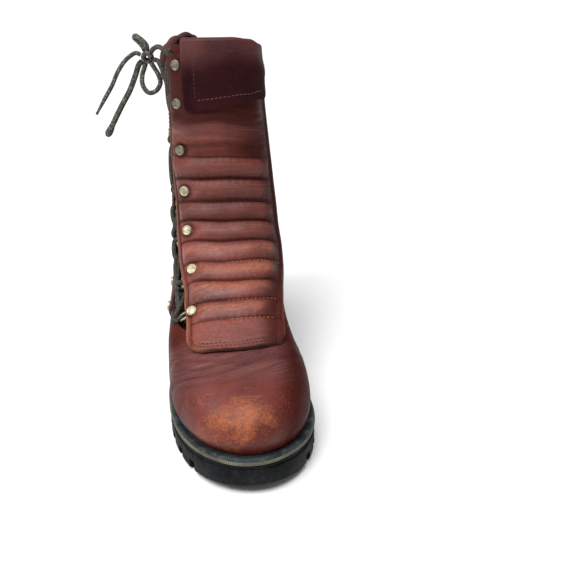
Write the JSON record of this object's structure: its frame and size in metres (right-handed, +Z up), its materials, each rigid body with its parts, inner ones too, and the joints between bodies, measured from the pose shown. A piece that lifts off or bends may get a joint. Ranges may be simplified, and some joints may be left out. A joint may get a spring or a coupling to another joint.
{
  "type": "lace-up boot",
  "caption": "Leather boot for the right foot, laced through wire loops on its outer side beside a quilted front panel, with padded collar, folded top flap and lugged rubber sole.",
  "frame": {"origin": "middle of the boot's footprint on the ground, under the box of the boot without its free lace", "axes": "+Z up, -Y towards the toe, -X towards the boot's outer side, where it laces"},
  "size_m": [0.1495, 0.3016, 0.2482],
  "materials": {
    "leather": "waxed, worn at the toe",
    "padded_leather": "soft, waxed",
    "lining": "matt",
    "rubber": "matt",
    "welt_rubber": "matt, dusty",
    "board": "matt",
    "brass": "aged",
    "cord": "braided"
  },
  "bodies": {
    "root": {"outsole": "rubber", "heel": "rubber", "welt": "welt_rubber", "insole": "board", "upper": "leather", "gusset": "lining", "front_panel": "padded_leather", "collar_pad": "padded_leather", "top_flap": "leather", "lace_stay": "leather", "lace": "cord", "lace_knot": "cord", "lace_loop_upper": "cord", "lace_loop_lower": "cord", "lace_end_a": "cord", "lace_end_b": "cord", "rivet_panel_1": "brass", "rivet_panel_2": "brass", "rivet_panel_3": "brass", "rivet_panel_4": "brass", "rivet_panel_5": "brass", "rivet_panel_6": "brass", "rivet_panel_7": "brass", "rivet_stay_1": "brass", "rivet_stay_2": "brass", "rivet_stay_3": "brass", "rivet_stay_4": "brass", "rivet_stay_5": "brass", "rivet_stay_6": "brass", "rivet_stay_7": "brass", "ring_panel_1": "brass", "ring_panel_2": "brass", "ring_panel_3": "brass", "ring_panel_4": "brass", "ring_panel_5": "brass", "ring_panel_6": "brass", "ring_panel_7": "brass", "ring_stay_1": "brass", "ring_stay_2": "brass", "ring_stay_3": "brass", "ring_stay_4": "brass", "ring_stay_5": "brass", "ring_stay_6": "brass", "ring_stay_7": "brass"}
  },
  "joints": []
}
